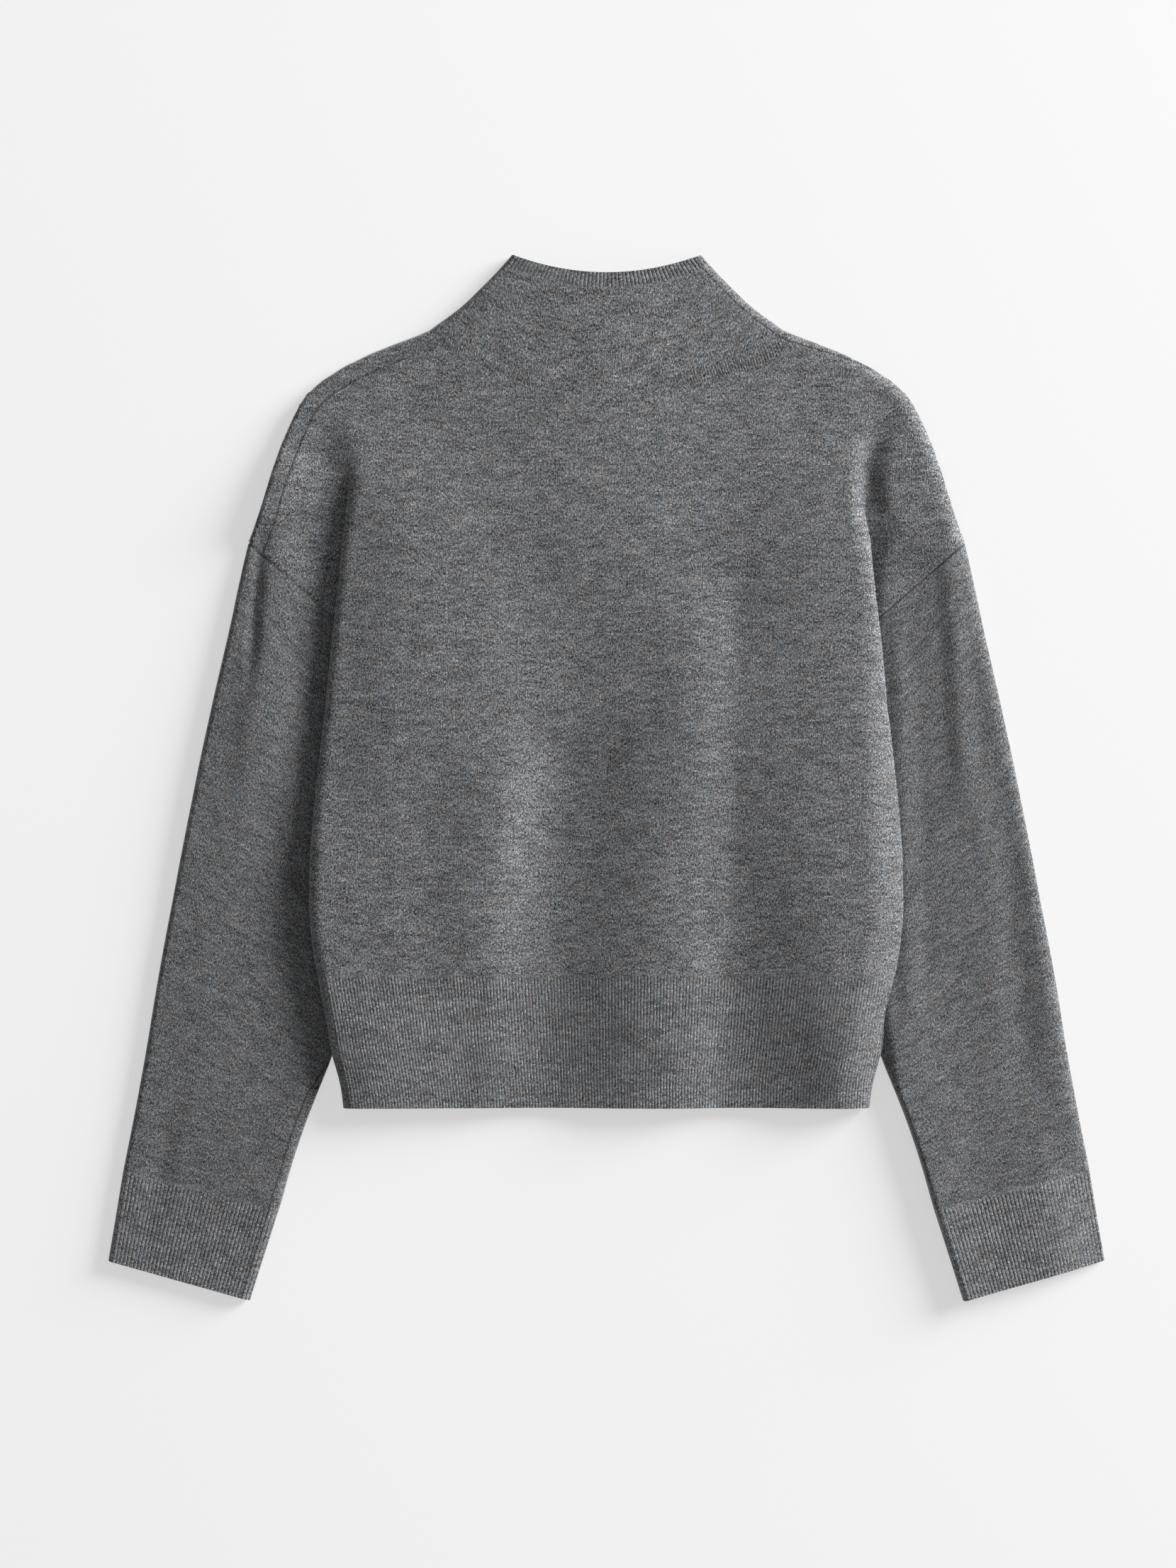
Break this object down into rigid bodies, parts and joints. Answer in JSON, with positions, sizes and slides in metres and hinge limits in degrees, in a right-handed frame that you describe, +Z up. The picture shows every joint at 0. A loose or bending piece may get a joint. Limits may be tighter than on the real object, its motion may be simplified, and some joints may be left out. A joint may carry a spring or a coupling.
{
  "type": "funnel-neck pullover sweater",
  "caption": "Cropped fine-knit pullover with a funnel neck, dropped shoulders and ribbed hem, cuffs and neck edge, laid flat with its back up and its sleeves beside the body.",
  "frame": {"origin": "on the surface it lies on, under the middle of its bounding box", "axes": "+X to the right of the page and +Y towards the neck, seen from above with the back up; +Z up out of the surface"},
  "size_m": [0.6746, 0.7076, 0.0131],
  "materials": {
    "jersey": "soft mid-grey heather plain knit, slightly brushed",
    "rib": "mid-grey heather one-by-one rib knit"
  },
  "bodies": {
    "root": {"back": "jersey", "front": "jersey", "sleeve_left": "jersey", "sleeve_right": "jersey", "collar": "jersey", "neck_rib": "rib", "hem_rib": "rib", "cuff_left": "rib", "cuff_right": "rib"}
  },
  "joints": []
}
